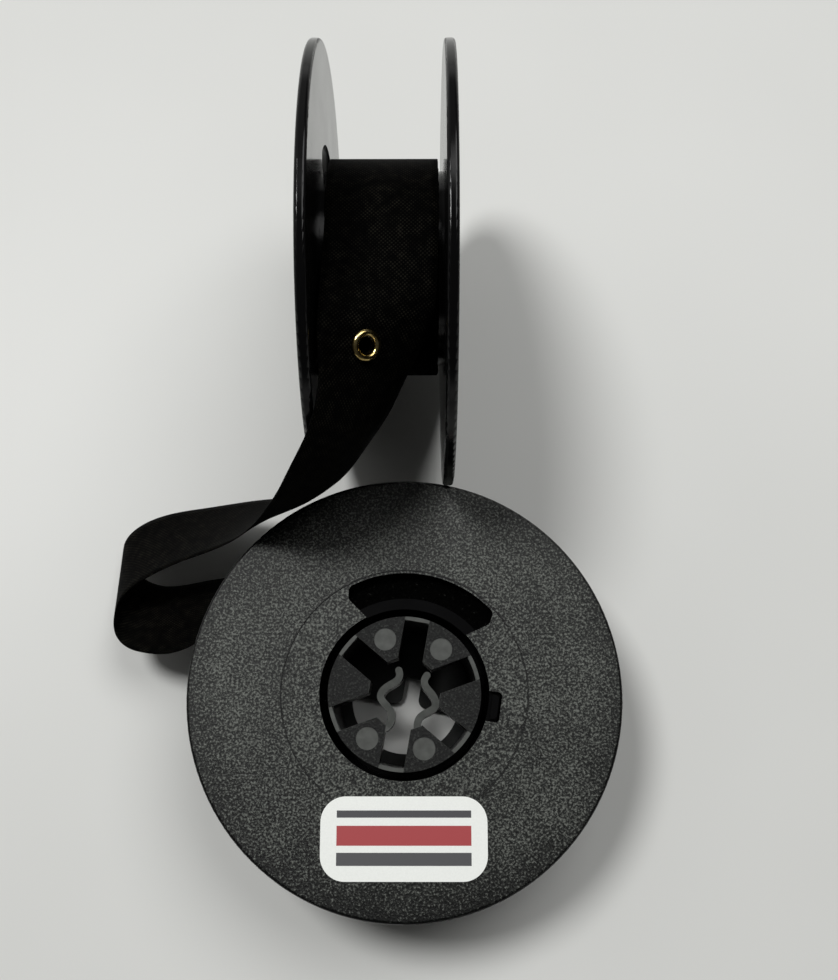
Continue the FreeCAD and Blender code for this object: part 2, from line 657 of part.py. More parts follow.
for made in doc.Objects:
    if "Invalid" in made.State or "Error" in made.State:
        raise ValueError("%s failed: %s" % (made.Label, made.State))
os.makedirs("parts", exist_ok=True)
for made in pieces:
    shape = made.Shape
    if shape.isNull() or not shape.isValid():
        raise ValueError("%s has no valid shape" % made.Label)
    box = shape.optimalBoundingBox()
    reach = (box.XMin, box.XMax, box.YMin, box.YMax, box.ZMin, box.ZMax)
    print("%-14s %d solid %9.1f mm3" % (made.Label, len(shape.Solids), shape.Volume),
          " x %.1f..%.1f y %.1f..%.1f z %.1f..%.1f" % reach)
    shape.exportStep("parts/%s.step" % made.Label)
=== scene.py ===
# %% [markdown]
# # A twin-spool typewriter ribbon
# Two black moulded spools share one inked ribbon. The full one lies flat on a table and the
# almost empty one stands behind it on the edges of its flanges, with the ribbon looping from
# one to the other. The rigid parts come from a CAD model, so this script only gives them their
# finishes, and it makes what CAD leaves plain: the cloth ribbon and its wound turns.

# %% Load the CAD frame
import math

import bpy
import numpy as np
from mathutils import Euler, Matrix, Vector


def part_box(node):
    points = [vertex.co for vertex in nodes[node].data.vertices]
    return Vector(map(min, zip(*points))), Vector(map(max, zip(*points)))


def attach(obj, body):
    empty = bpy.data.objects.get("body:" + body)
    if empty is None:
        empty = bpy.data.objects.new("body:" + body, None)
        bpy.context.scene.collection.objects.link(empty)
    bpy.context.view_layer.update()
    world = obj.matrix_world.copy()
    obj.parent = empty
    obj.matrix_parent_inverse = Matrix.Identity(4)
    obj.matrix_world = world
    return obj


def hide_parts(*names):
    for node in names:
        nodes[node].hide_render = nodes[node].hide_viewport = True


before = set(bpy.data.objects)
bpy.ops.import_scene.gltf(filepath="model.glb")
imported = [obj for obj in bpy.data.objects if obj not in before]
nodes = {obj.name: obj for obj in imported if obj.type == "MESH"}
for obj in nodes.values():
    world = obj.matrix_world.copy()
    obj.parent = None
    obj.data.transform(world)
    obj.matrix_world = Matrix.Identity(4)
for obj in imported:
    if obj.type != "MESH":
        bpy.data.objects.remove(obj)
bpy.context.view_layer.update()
MM = 0.001
print("CAD nodes:", ", ".join(sorted(nodes)))

# %% [markdown]
# ## Sizes read from the frame
# The spool's radius, its width and its places are read from the CAD nodes' boxes and not typed
# again, so the cloth and the finishes follow the model when it changes. Both spools are the same
# moulding. A seat is where a spool stands: its own axis is +Z in its own frame, with z = 0 at the
# flange that is moulded with the barrel.

# %% Sizes and seats of the two spools
def spool_size():
    low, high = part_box("supply_cap")
    full_low, full_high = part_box("supply_roll")
    small_low, small_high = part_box("takeup_roll")
    standing_low, standing_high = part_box("takeup_cap")
    return {
        "rim": (high.x - low.x) / 2 / MM,
        "width": high.z / MM,
        "roll_low": full_low.z / MM,
        "roll_high": full_high.z / MM,
        "full": (full_high.x - full_low.x) / 2 / MM,
        "small": (small_high.y - small_low.y) / 2 / MM,
        "axis_y": (standing_high.y + standing_low.y) / 2 / MM,
        "cap_face": standing_low.x / MM,
    }


SPOOL = spool_size()
BARREL = 11.9
LYING = Matrix.Identity(4)
standing_foot = Vector((SPOOL["cap_face"] + SPOOL["width"], SPOOL["axis_y"], SPOOL["rim"]))
STANDING = Matrix.Translation(standing_foot) @ Matrix.Rotation(math.radians(-90), 4, "Y")
print({name: round(size, 2) for name, size in SPOOL.items()})

# %% [markdown]
# ## Camera
# The picture was taken by hand from almost straight above, close enough that the upper rims look
# larger than the lower ones. A camera is a place, a turn and a focal length, and all three were
# found by matching the ellipses of the flanges. The view is tilted back by 13 degrees.

# %% Camera
camera_data = bpy.data.cameras.new("hand_held_camera")
camera = bpy.data.objects.new("hand_held_camera", camera_data)
bpy.context.scene.collection.objects.link(camera)
camera.location = Vector((2.23, -6.74, 155.8)) * MM
camera.rotation_euler = Euler((0.230, 0.003, 0.0))
camera_data.sensor_width = 36.0
camera_data.lens = 40.67
camera_data.clip_start = 0.005
camera_data.clip_end = 10.0
bpy.context.scene.camera = camera
bpy.context.scene.view_settings.view_transform = "Standard"
print("camera height, mm:", round(camera.location.z / MM, 1))

# %% [markdown]
# ## Helpers for materials
# A shader is a small graph of nodes. These helpers keep each finish short to read: one makes a
# material, one adds a node and fills or links its inputs, and the others add the few kinds of
# node that every finish here needs, such as a sum, a mix, a noise and a bump.

# %% Helpers for materials
def new_finish(name):
    material = bpy.data.materials.new(name)
    material.use_nodes = True
    tree = material.node_tree
    return material, tree, tree.nodes["Principled BSDF"]


def add(tree, kind, settings=None, **inputs):
    """Add a node. Each input is a value, or a socket to link from.

    An input is called by its name, with _ for a space, or by its place, as in i0.
    """
    made = tree.nodes.new(kind)
    for key, choice in (settings or {}).items():
        setattr(made, key, choice)
    for key, given in inputs.items():
        numbered = key[0] == "i" and key[1:].isdigit()
        socket = made.inputs[int(key[1:]) if numbered else key.replace("_", " ")]
        if isinstance(given, bpy.types.NodeSocket):
            tree.links.new(given, socket)
        else:
            socket.default_value = given
    return made


def math_node(tree, operation, *given):
    inputs = {"i%d" % k: value for k, value in enumerate(given)}
    return add(tree, "ShaderNodeMath", {"operation": operation}, **inputs).outputs[0]


def times(tree, one, two):
    return math_node(tree, "MULTIPLY", one, two)


def plus(tree, one, two):
    return math_node(tree, "ADD", one, two)


def blend(tree, share, at_zero, at_one, kind="RGBA"):
    """Mix two colours, or two numbers with kind FLOAT, by a share from 0 to 1."""
    first = {"RGBA": 6, "FLOAT": 2}[kind]
    inputs = {"i%d" % first: at_zero, "i%d" % (first + 1): at_one}
    made = add(tree, "ShaderNodeMix", {"data_type": kind}, Factor=share, **inputs)
    return made.outputs[2 if kind == "RGBA" else 0]


def noise(tree, where, scale, detail, roughness=0.5):
    """A noise from 0 to 1 whose grains are about 1 / scale across."""
    made = add(tree, "ShaderNodeTexNoise", Vector=where, Scale=scale, Detail=detail, Roughness=roughness)
    return made.outputs["Fac"]


def relief(tree, shader, height, strength, depth):
    """Bump: shading as if the surface rose by depth, in millimetres, where height is 1."""
    bump = add(tree, "ShaderNodeBump", Strength=strength, Distance=depth * MM, Height=height)
    tree.links.new(bump.outputs["Normal"], shader.inputs["Normal"])


def ramp(tree, fac, *stops):
    """A colour ramp: each stop is (place, colour)."""
    made = add(tree, "ShaderNodeValToRGB", Fac=fac)
    line = made.color_ramp.elements
    while len(line) < len(stops):
        line.new(0.5)
    for element, (place, colour) in zip(line, stops):
        element.position = place
        element.color = (*colour, 1.0)
    return made.outputs["Color"]


def step_between(tree, given, low, high):
    """0 below low, 1 above high, smooth in between."""
    made = add(tree, "ShaderNodeMapRange", {"interpolation_type": "SMOOTHSTEP"}, Value=given)
    made.inputs["From Min"].default_value = low
    made.inputs["From Max"].default_value = high
    return made.outputs["Result"]


def in_millimetres(tree, where):
    made = add(tree, "ShaderNodeVectorMath", {"operation": "SCALE"}, Vector=where, Scale=1 / MM)
    return made.outputs["Vector"]


def spool_point(tree, seat):
    """The point in a spool's own frame, in millimetres."""
    where = add(tree, "ShaderNodeTexCoord").outputs["Object"]
    seated = add(tree, "ShaderNodeMapping", {"vector_type": "TEXTURE"}, Vector=where)
    seated.inputs["Location"].default_value = seat.to_translation() * MM
    seated.inputs["Rotation"].default_value = seat.to_euler()
    return in_millimetres(tree, seated.outputs["Vector"])


# %% [markdown]
# ## Black moulded plastic
# The mould's outer faces were spark-eroded, which leaves a fine pebbled grain on the part. It
# scatters light, so those faces look dark grey and speckled. The inner faces and the rounded
# rims were polished and look black and glossy. Both belong to one CAD node, so the finish is
# chosen by place: grain where the point lies on an outer face and inside the rim's rounding.
# Painted shade darkens the grain towards the rim and towards the −y side of the spool, and a
# thin painted dark line stands for the shade in the step round the hub. Lengths are in millimetres.

# %% Flange plastic
BORE = 10.54
FLANGE_WALL = 1.3
HUB_ZONE = 15.3
FACE_DEPTH = 0.2
RIM_ROUND = 0.5
GRAINS_PER_MM = 3.5
POLISH = (0.003, 0.003, 0.0032, 1.0)
FLOOR_GREY = (0.028, 0.029, 0.028, 1.0)
GRAIN_COLOURS = ((0.38, (0.0015, 0.0017, 0.0015)), (0.49, (0.015, 0.0163, 0.0145)),
                 (0.63, (0.145, 0.154, 0.138)))


def painted_grain_shade(tree, y, reach, from_rim):
    """Painted shade on the grain, by place: towards the rim, towards −y and in the step line."""
    # Painted shade: the grain darkens over the last 4.5 mm towards the rim.
    rim_shade = times(tree, step_between(tree, from_rim, 4.5, -1.0), -0.045)
    # Painted shade: the grain darkens towards −y, from y = −13 to −28 mm.
    minus_y_shade = times(tree, step_between(tree, y, -13.0, -28.0), -0.050)
    # Painted shade: a thin dark line standing for the shade in the step round the hub zone.
    off_line = math_node(tree, "ABSOLUTE", math_node(tree, "SUBTRACT", reach, HUB_ZONE))
    line = times(tree, step_between(tree, off_line, 0.14, 0.07), -0.10)
    return plus(tree, plus(tree, rim_shade, minus_y_shade), line)


def flange_plastic(name, seat):
    material, tree, shader = new_finish(name)
    point = spool_point(tree, seat)
    x, y, z = add(tree, "ShaderNodeSeparateXYZ", Vector=point).outputs
    reach = math_node(tree, "SQRT", plus(tree, times(tree, x, x), times(tree, y, y)))
    half_width = SPOOL["width"] / 2
    off_middle = math_node(tree, "ABSOLUTE", math_node(tree, "SUBTRACT", z, half_width))
    outer = step_between(tree, off_middle, half_width - FACE_DEPTH, half_width - 0.75 * FACE_DEPTH)
    from_rim = math_node(tree, "SUBTRACT", SPOOL["rim"], reach)
    grained = times(tree, outer, step_between(tree, from_rim, 0.3 * RIM_ROUND, RIM_ROUND))

    pebbles = noise(tree, point, GRAINS_PER_MM, 3.0, 0.72)
    patches = noise(tree, point, 0.16, 4.0, 0.55)
    drift = times(tree, math_node(tree, "SUBTRACT", patches, 0.5), 0.12)
    tone = plus(tree, plus(tree, pebbles, drift), painted_grain_shade(tree, y, reach, from_rim))
    outside = blend(tree, grained, POLISH, ramp(tree, tone, *GRAIN_COLOURS))
    in_bore = math_node(tree, "LESS_THAN", reach, BORE - 0.05)
    low_down = math_node(tree, "LESS_THAN", math_node(tree, "ABSOLUTE", z), FLANGE_WALL + 0.05)
    colour = blend(tree, times(tree, in_bore, low_down), outside, FLOOR_GREY)
    tree.links.new(colour, shader.inputs["Base Color"])

    grain_gloss = plus(tree, times(tree, patches, 0.18), 0.32)
    polish_gloss = plus(tree, times(tree, patches, 0.10), 0.10)
    gloss = blend(tree, grained, polish_gloss, grain_gloss, "FLOAT")
    tree.links.new(gloss, shader.inputs["Roughness"])
    shader.inputs["Specular IOR Level"].default_value = 0.20
    relief(tree, shader, times(tree, pebbles, grained), 0.6, 0.11)
    return material


flange_finish = {"supply": flange_plastic("lying_flange_plastic", LYING),
                 "takeup": flange_plastic("standing_flange_plastic", STANDING)}
for spool, finish in flange_finish.items():
    for part in ("core", "cap"):
        nodes["%s_%s" % (spool, part)].data.materials.clear()
        nodes["%s_%s" % (spool, part)].data.materials.append(finish)
print("flange finishes:", [finish.name for finish in flange_finish.values()])

# %% [markdown]
# ## Hub plastic
# The gripping hub is a separate moulding. Its six fingers have a darker grain than the flanges,
# while the ejector marks and the two spring arms are smooth; their paler colour is a painted
# reflection of the light above. A finger's face lies further out than its blunt tip along one of
# three directions and clear of the slots between them, which is what the dot products below test.

# %% Hub plastic
FINGER_TIP = 4.45
SLOT_HALF = 1.56
HUB_DIRECTION = 80.0
HUB_FACE = SPOOL["width"] - 0.25
EDGE = 0.03
MARK_DEPTH = 0.42
SECTOR_COLOURS = ((0.40, (0.0006, 0.0007, 0.0006)), (0.54, (0.0045, 0.005, 0.0045)),
                  (0.70, (0.040, 0.043, 0.039)))
# Paler colours of the smooth marks and arms: a painted reflection of the light above.
MARK_REFLECTION_COLOURS = ((0.3, (0.062, 0.065, 0.060)), (0.7, (0.092, 0.096, 0.090)))
ARM_REFLECTION_COLOURS = ((0.3, (0.045, 0.048, 0.044)), (0.7, (0.070, 0.074, 0.068)))
DEEP_BLACK = (0.002, 0.002, 0.002, 1.0)


def reaches_along_slots(tree, point):
    """How far the point is from the axis along the three directions, the furthest and nearest."""
    reaches = []
    for turn in (30.0, 90.0, 150.0):
        angle = math.radians(HUB_DIRECTION + turn)
        way = (math.cos(angle), math.sin(angle), 0.0)
        along = add(tree, "ShaderNodeVectorMath", {"operation": "DOT_PRODUCT"}, i0=point, i1=way)
        reaches.append(math_node(tree, "ABSOLUTE", along.outputs["Value"]))
    furthest = math_node(tree, "MAXIMUM", math_node(tree, "MAXIMUM", *reaches[:2]), reaches[2])
    nearest = math_node(tree, "MINIMUM", math_node(tree, "MINIMUM", *reaches[:2]), reaches[2])
    return furthest, nearest


def hub_plastic(name, seat):
    material, tree, shader = new_finish(name)
    point = spool_point(tree, seat)
    furthest, nearest = reaches_along_slots(tree, point)
    z = add(tree, "ShaderNodeSeparateXYZ", Vector=point).outputs["Z"]
    beyond_tip = step_between(tree, furthest, FINGER_TIP - EDGE, FINGER_TIP + EDGE)
    beside_slot = step_between(tree, nearest, SLOT_HALF - EDGE, SLOT_HALF + EDGE)
    on_face = step_between(tree, z, HUB_FACE - 2 * EDGE, HUB_FACE - EDGE)
    grained = times(tree, times(tree, beyond_tip, beside_slot), on_face)
    near_face = step_between(tree, z, HUB_FACE - MARK_DEPTH, HUB_FACE - MARK_DEPTH + 2 * EDGE)

    pebbles = noise(tree, point, 3.8, 3.0, 0.7)
    clouds = noise(tree, point, 0.9, 3.0)
    # Painted reflection: the marks and arms get a paler base colour in place of the light they mirror.
    arm_reflection, mark = ramp(tree, clouds, *ARM_REFLECTION_COLOURS), ramp(tree, clouds, *MARK_REFLECTION_COLOURS)
    painted_reflection = blend(tree, beyond_tip, arm_reflection, mark)
    ungrained = blend(tree, near_face, DEEP_BLACK, painted_reflection)
    colour = blend(tree, grained, ungrained, ramp(tree, pebbles, *SECTOR_COLOURS))
    tree.links.new(colour, shader.inputs["Base Color"])
    gloss = blend(tree, grained, 0.34, 0.58, "FLOAT")
    tree.links.new(gloss, shader.inputs["Roughness"])
    shader.inputs["Specular IOR Level"].default_value = 0.22
    relief(tree, shader, times(tree, pebbles, grained), 0.7, 0.10)
    return material


for spool, seat in (("supply", LYING), ("takeup", STANDING)):
    hub_node = nodes["%s_hub" % spool]
    hub_node.data.materials.clear()
    hub_node.data.materials.append(hub_plastic("%s_hub_plastic" % spool, seat))
print("hub finishes done")

# %% [markdown]
# ## Inked cloth
# The ribbon is finely woven nylon soaked in black ink. Two sets of threads cross at right angles,
# so its relief is the product of two waves, read from the cloth's own UV map: U runs across the
# ribbon and V along it, both counted in ribbon widths. Sheen gives the dull bloom of the fibres
# where light grazes them.

# %% Inked cloth
RIBBON_WIDTH = SPOOL["roll_high"] - SPOOL["roll_low"]
THREADS_PER_MM = 4.2


WEAVE_COLOURS = ((0.35, (0.0004, 0.0004, 0.0004)), (0.62, (0.0010, 0.0010, 0.0009)),
                 (0.90, (0.013, 0.012, 0.009)))


def inked_cloth(name):
    material, tree, shader = new_finish(name)
    own_map = add(tree, "ShaderNodeTexCoord").outputs["UV"]
    across, along, _ = add(tree, "ShaderNodeSeparateXYZ", Vector=own_map).outputs
    threads = 2 * math.pi * THREADS_PER_MM * RIBBON_WIDTH / 2
    warp = math_node(tree, "SINE", times(tree, across, threads))
    weft = math_node(tree, "SINE", times(tree, along, threads))
    streaks = noise(tree, add(tree, "ShaderNodeTexCoord").outputs["Object"], 900.0, 3.0, 0.6)
    thread = plus(tree, times(tree, times(tree, warp, weft), 0.35), streaks)
    tree.links.new(ramp(tree, thread, *WEAVE_COLOURS), shader.inputs["Base Color"])
    shader.inputs["Roughness"].default_value = 0.62
    shader.inputs["Specular IOR Level"].default_value = 0.012
    shader.inputs["Sheen Weight"].default_value = 0.01
    shader.inputs["Sheen Roughness"].default_value = 0.45
    relief(tree, shader, thread, 0.5, 0.06)
    return material


cloth = inked_cloth("inked_nylon")
print("threads across the ribbon:", round(THREADS_PER_MM * RIBBON_WIDTH))

# %% [markdown]
# ## The wound turns
# A full roll is about eleven metres of ribbon wound on itself: one long spiral. Geometry Nodes
# have a Spiral curve, and Curve to Mesh sweeps the ribbon's cross-section along it, which makes
# every turn at once. Real turns never line up perfectly, so a noise moves each stretch of the
# spiral a little along the axis. The tree has named inputs for its sizes, and the same tree
# winds both rolls. It winds fewer and thicker turns than the real roll, which keeps the mesh small.

# %% A Geometry Nodes tree that winds a roll
WINDING_INPUTS = (
    ("Inner Radius", "NodeSocketFloat", 0.0119), ("Outer Radius", "NodeSocketFloat", 0.0204),
    ("Turns", "NodeSocketFloat", 50.0), ("Points per Turn", "NodeSocketInt", 72),
    ("Width", "NodeSocketFloat", 0.013), ("Thickness", "NodeSocketFloat", 0.0001),
    ("Wander", "NodeSocketFloat", 0.0001), ("Middle", "NodeSocketFloat", 0.008),
    ("Cloth", "NodeSocketMaterial", None))


def winding_tree():
    tree = bpy.data.node_groups.new("wind_ribbon", "GeometryNodeTree")
    tree.is_modifier = True
    tree.interface.new_socket("Geometry", in_out="OUTPUT", socket_type="NodeSocketGeometry")
    for name, kind, start in WINDING_INPUTS:
        socket = tree.interface.new_socket(name, in_out="INPUT", socket_type=kind)
        if start is not None:
            socket.default_value = start
    given = tree.nodes.new("NodeGroupInput").outputs
    result = tree.nodes.new("NodeGroupOutput")

    spiral = add(tree, "GeometryNodeCurveSpiral", Start_Radius=given["Inner Radius"],
                 End_Radius=given["Outer Radius"], Rotations=given["Turns"],
                 Resolution=given["Points per Turn"], Height=0.0)
    place = add(tree, "GeometryNodeInputPosition").outputs["Position"]
    uneven = add(tree, "ShaderNodeTexNoise", Vector=place, Scale=2600.0, Detail=1.0)
    centred = math_node(tree, "SUBTRACT", uneven.outputs["Fac"], 0.5)
    lift = plus(tree, times(tree, centred, given["Wander"]), given["Middle"])
    offset = add(tree, "ShaderNodeCombineXYZ", Z=lift).outputs["Vector"]
    moved = add(tree, "GeometryNodeSetPosition", Geometry=spiral.outputs["Curve"], Offset=offset)
    upright = add(tree, "GeometryNodeSetCurveNormal", {"mode": "Z_UP"}, Curve=moved.outputs["Geometry"])
    section = add(tree, "GeometryNodeCurvePrimitiveQuadrilateral", {"mode": "RECTANGLE"},
                  Width=given["Thickness"], Height=given["Width"])
    band = add(tree, "GeometryNodeCurveToMesh", Curve=upright.outputs["Curve"],
               Profile_Curve=section.outputs["Curve"], Fill_Caps=True)
    real = add(tree, "GeometryNodeRealizeInstances", Geometry=band.outputs["Mesh"])
    dressed = add(tree, "GeometryNodeSetMaterial", Geometry=real.outputs["Geometry"],
                  Material=given["Cloth"])
    tree.links.new(dressed.outputs["Geometry"], result.inputs["Geometry"])
    return tree


def inputs_of(tree):
    return {s.name: s.identifier for s in tree.interface.items_tree if s.in_out == "INPUT"}


wind_ribbon = winding_tree()
print("inputs of the winding tree:", list(inputs_of(wind_ribbon)))

# %% Wind both rolls
POINTS_PER_TURN = 72
WANDER = 0.5
TURNS_FULL = 56
TURNS_SMALL = 8
EDGE_COLOURS = ((0.40, (0.0006, 0.0006, 0.0006)), (0.62, (0.0012, 0.0012, 0.0011)),
                (0.80, (0.026, 0.026, 0.024)))


def wound_roll(name, outer, turns, seat, node):
    roll = bpy.data.objects.new(name, bpy.data.meshes.new(name))
    bpy.context.scene.collection.objects.link(roll)
    wind = roll.modifiers.new("wind", "NODES")
    wind.node_group = wind_ribbon
    half_pitch = (outer - BARREL) / turns / 2
    sizes = {
        "Inner Radius": (BARREL + half_pitch) * MM, "Outer Radius": (outer - half_pitch) * MM,
        "Turns": float(turns), "Points per Turn": POINTS_PER_TURN, "Width": RIBBON_WIDTH * MM,
        "Thickness": 1.5 * half_pitch * MM, "Wander": WANDER * MM,
        "Middle": SPOOL["width"] / 2 * MM, "Cloth": turn_edges,
    }
    identifiers = inputs_of(wind_ribbon)
    for key, size in sizes.items():
        wind[identifiers[key]] = size
    solved = roll.evaluated_get(bpy.context.evaluated_depsgraph_get())
    mesh = bpy.data.meshes.new_from_object(solved)
    roll.modifiers.remove(wind)
    roll.data = mesh
    in_metres = seat.copy()
    in_metres.translation = seat.to_translation() * MM
    mesh.transform(in_metres)
    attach(roll, "root")
    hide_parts(node)
    print(name, "has", len(mesh.polygons), "faces")


def roll_cloth(name):
    """The edges of the turns: dull black with a faint grey fuzz."""
    material, tree, shader = new_finish(name)
    where = add(tree, "ShaderNodeTexCoord").outputs["Object"]
    fuzz = noise(tree, where, 2200.0, 3.0, 0.65)
    tree.links.new(ramp(tree, fuzz, *EDGE_COLOURS), shader.inputs["Base Color"])
    shader.inputs["Roughness"].default_value = 0.7
    shader.inputs["Specular IOR Level"].default_value = 0.012
    relief(tree, shader, fuzz, 0.6, 0.08)
    return material


turn_edges = roll_cloth("turn_edges")
wound_roll("full_roll_turns", SPOOL["full"], TURNS_FULL, LYING, "supply_roll")
wound_roll("small_roll_turns", SPOOL["small"], TURNS_SMALL, STANDING, "takeup_roll")

# %% [markdown]
# ## The free ribbon
# Between the rolls the ribbon is a flat strip that makes one half-twist and one loop. A simulated
# strip would settle somewhere else each time, so its two edges are given as stations along the
# way and joined by a smooth curve (a cubic spline). The strip goes on round both rolls, because
# the outer turn and the free stretch are the same piece of cloth. The thickness comes from a
# Solidify modifier, and the hole for the eyelet from a Boolean.

# %% The ribbon's stations
# Edge one, edge two, and how far the middle bows forwards, in millimetres.
FREE_RIBBON = [
    ((-8.95, 51.6, 40.2), (4.05, 51.6, 40.2), 0.0),
    ((-9.0, 46.0, 41.0), (3.8, 45.6, 40.3), 0.0),
    ((-9.0, 40.2, 43.0), (3.0, 39.7, 39.0), 0.0),
    ((-8.95, 37.0, 43.5), (1.8, 37.5, 37.2), 0.0),
    ((-8.95, 32.5, 43.6), (0.2, 34.5, 34.3), 0.1),
    ((-9.8, 28.0, 42.3), (-1.3, 31.7, 32.1), 0.6),
    ((-12.3, 24.0, 37.8), (-4.0, 28.9, 28.1), 1.1),
    ((-14.5, 21.8, 32.6), (-7.2, 26.5, 22.4), 1.2),
    ((-16.4, 20.8, 27.4), (-10.6, 25.5, 17.2), 0.9),
    ((-18.5, 20.1, 22.3), (-13.9, 25.6, 12.2), 0.3),
    ((-21.4, 19.2, 18.0), (-17.5, 26.3, 8.6), 0.0),
    ((-25.4, 18.1, 14.9), (-22.1, 26.6, 5.8), 0.0),
    ((-30.0, 17.0, 12.4), (-28.1, 26.2, 3.6), 0.0),
    ((-34.7, 15.2, 10.1), (-34.0, 25.5, 2.2), 0.0),
    ((-37.4, 13.4, 9.0), (-37.6, 24.1, 1.7), 0.0),
    ((-38.8, 10.7, 8.3), (-39.7, 21.9, 1.7), 0.0),
    ((-38.5, 8.0, 8.0), (-39.6, 19.4, 1.9), 0.0),
    ((-36.9, 6.4, 8.3), (-38.2, 17.7, 1.9), 0.0),
    ((-34.3, 5.6, 9.1), (-36.2, 16.2, 1.7), 0.0),
    ((-31.4, 5.4, 9.7), (-33.8, 15.5, 1.7), 0.0),
    ((-26.1, 7.4, 11.1), (-28.6, 16.1, 1.7), 0.0),
    ((-20.7, 11.4, 13.2), (-22.3, 17.1, 1.6), 0.0),
    ((-15.2, 15.3, 14.3), (-16.0, 18.0, 1.6), 0.0),
    ((-6.62, 19.52, 14.75), (-6.62, 19.52, 1.75), 0.0),
]
LIFT = 0.2
WRAP_STEP = 20
middle_x = SPOOL["cap_face"] + SPOOL["width"] / 2


def fitted(stations):
    """Give each station the ribbon's exact width, and let the ends follow the rolls."""
    pairs = [(Vector(one), Vector(two), bow) for one, two, bow in stations]
    middles = [(one + two) / 2 for one, two, bow in pairs]
    marks = [0.0]
    for here, there in zip(middles, middles[1:]):
        marks.append(marks[-1] + (there - here).length)

    start = Vector((middle_x, SPOOL["axis_y"], SPOOL["rim"] + SPOOL["small"] + LIFT))
    end = Vector((middles[-1].x, middles[-1].y, 0.0)).normalized() * (SPOOL["full"] + LIFT)
    end.z = SPOOL["width"] / 2
    start_shift, end_shift = start - middles[0], end - middles[-1]
    rows = []
    for (one, two, bow), middle, mark in zip(pairs, middles, marks):
        share = mark / marks[-1]
        centre = middle + start_shift * (1 - share) ** 2 + end_shift * share ** 2
        half = (two - one).normalized() * (RIBBON_WIDTH / 2)
        rows.append((centre - half, centre + half, bow))
    return rows


def wrap_on_small_roll(from_angle):
    """Stations under and behind the standing spool's roll, up to just before its top."""
    radius = SPOOL["small"] + LIFT
    half = Vector((RIBBON_WIDTH / 2, 0.0, 0.0))
    rows = []
    for angle in range(from_angle, 90, WRAP_STEP):
        turn = math.radians(angle)
        y, z = SPOOL["axis_y"] + radius * math.cos(turn), SPOOL["rim"] + radius * math.sin(turn)
        centre = Vector((middle_x, y, z))
        rows.append((centre - half, centre + half, 0.0))
    return rows


def wrap_on_full_roll(to_angle):
    """Stations that go on round the lying spool's roll from where the free ribbon meets it."""
    radius = SPOOL["full"] + LIFT
    meets = math.degrees(math.atan2(FREE_RIBBON[-1][0][1], FREE_RIBBON[-1][0][0]))
    rows = []
    angle = meets - WRAP_STEP
    while angle > to_angle:
        turn = math.radians(angle)
        x, y = radius * math.cos(turn), radius * math.sin(turn)
        rows.append((Vector((x, y, SPOOL["roll_high"])), Vector((x, y, SPOOL["roll_low"])), 0.0))
        angle -= WRAP_STEP
    return rows


SMALL_FROM = -150
FULL_TO = -140
stations = wrap_on_small_roll(SMALL_FROM) + fitted(FREE_RIBBON) + wrap_on_full_roll(FULL_TO)
print("stations:", len(stations))

# %% [markdown]
# A cubic spline passes through every station with no kink: its bends at the stations follow from
# one small system of equations, which numpy solves. Distance along the strip is the parameter, so
# close stations don't make it overshoot.

# %% A smooth strip through the stations
def cubic_through(marks, rows, where):
    """Values at each place of a natural cubic spline through rows of numbers at the marks."""
    gaps = np.diff(marks)
    slopes = np.diff(rows, axis=0) / gaps[:, None]
    count = len(marks)
    system = np.eye(count)
    right = np.zeros_like(rows)
    for k in range(1, count - 1):
        system[k, k - 1:k + 2] = gaps[k - 1], 2 * (gaps[k - 1] + gaps[k]), gaps[k]
        right[k] = 6 * (slopes[k] - slopes[k - 1])
    bends = np.linalg.solve(system, right)
    k = np.clip(np.searchsorted(marks, where, side="right") - 1, 0, count - 2)
    h, a, b = gaps[k][:, None], (marks[k + 1] - where)[:, None], (where - marks[k])[:, None]
    bent = (bends[k] * a ** 3 + bends[k + 1] * b ** 3) / (6 * h)
    return bent + (rows[k] / h - bends[k] * h / 6) * a + (rows[k + 1] / h - bends[k + 1] * h / 6) * b


def ribbon_rows(stations, spacing):
    ones = np.array([one for one, two, bow in stations])
    twos = np.array([two for one, two, bow in stations])
    bows = np.array([bow for one, two, bow in stations])
    middles = (ones + twos) / 2
    marks = np.concatenate([[0.0], np.cumsum(np.linalg.norm(np.diff(middles, axis=0), axis=1))])
    where = np.linspace(0.0, marks[-1], int(marks[-1] / spacing) + 1)
    ones, twos = cubic_through(marks, ones, where), cubic_through(marks, twos, where)
    return ones, twos, np.interp(where, marks, bows), where


ACROSS = 14
ROW_SPACING = 0.5
ones, twos, bows, where = ribbon_rows(stations, ROW_SPACING)
shares = np.linspace(0.0, 1.0, ACROSS + 1)
points = ones[:, None] * (1 - shares[None, :, None]) + twos[:, None] * shares[None, :, None]
points[:, :, 1] -= bows[:, None] * 4 * shares * (1 - shares)


# %% Make the strip's mesh
def strip_mesh(name, points, where):
    rows, columns = points.shape[:2]
    faces = []
    for i in range(rows - 1):
        for j in range(columns - 1):
            k = i * columns + j
            faces.append((k, k + 1, k + columns + 1, k + columns))
    mesh = bpy.data.meshes.new(name)
    mesh.from_pydata([tuple(p * MM) for p in points.reshape(-1, 3)], [], faces)
    uv = mesh.uv_layers.new(name="cloth")
    for loop in mesh.loops:
        i, j = divmod(loop.vertex_index, columns)
        uv.data[loop.index].uv = (j / (columns - 1), where[i] / RIBBON_WIDTH)
    mesh.polygons.foreach_set("use_smooth", [True] * len(mesh.polygons))
    return mesh


strip = bpy.data.objects.new("free_ribbon_cloth", strip_mesh("free_ribbon_cloth", points, where))
bpy.context.scene.collection.objects.link(strip)
strip.data.materials.append(cloth)
print("strip faces:", len(strip.data.polygons))

# %% Cut the eyelet's hole and give the cloth its thickness
CLOTH_THICKNESS = 0.12
HOLE_RADIUS = 1.35
HOLE_SIDES = 48
PUNCH_REACH = 2.0

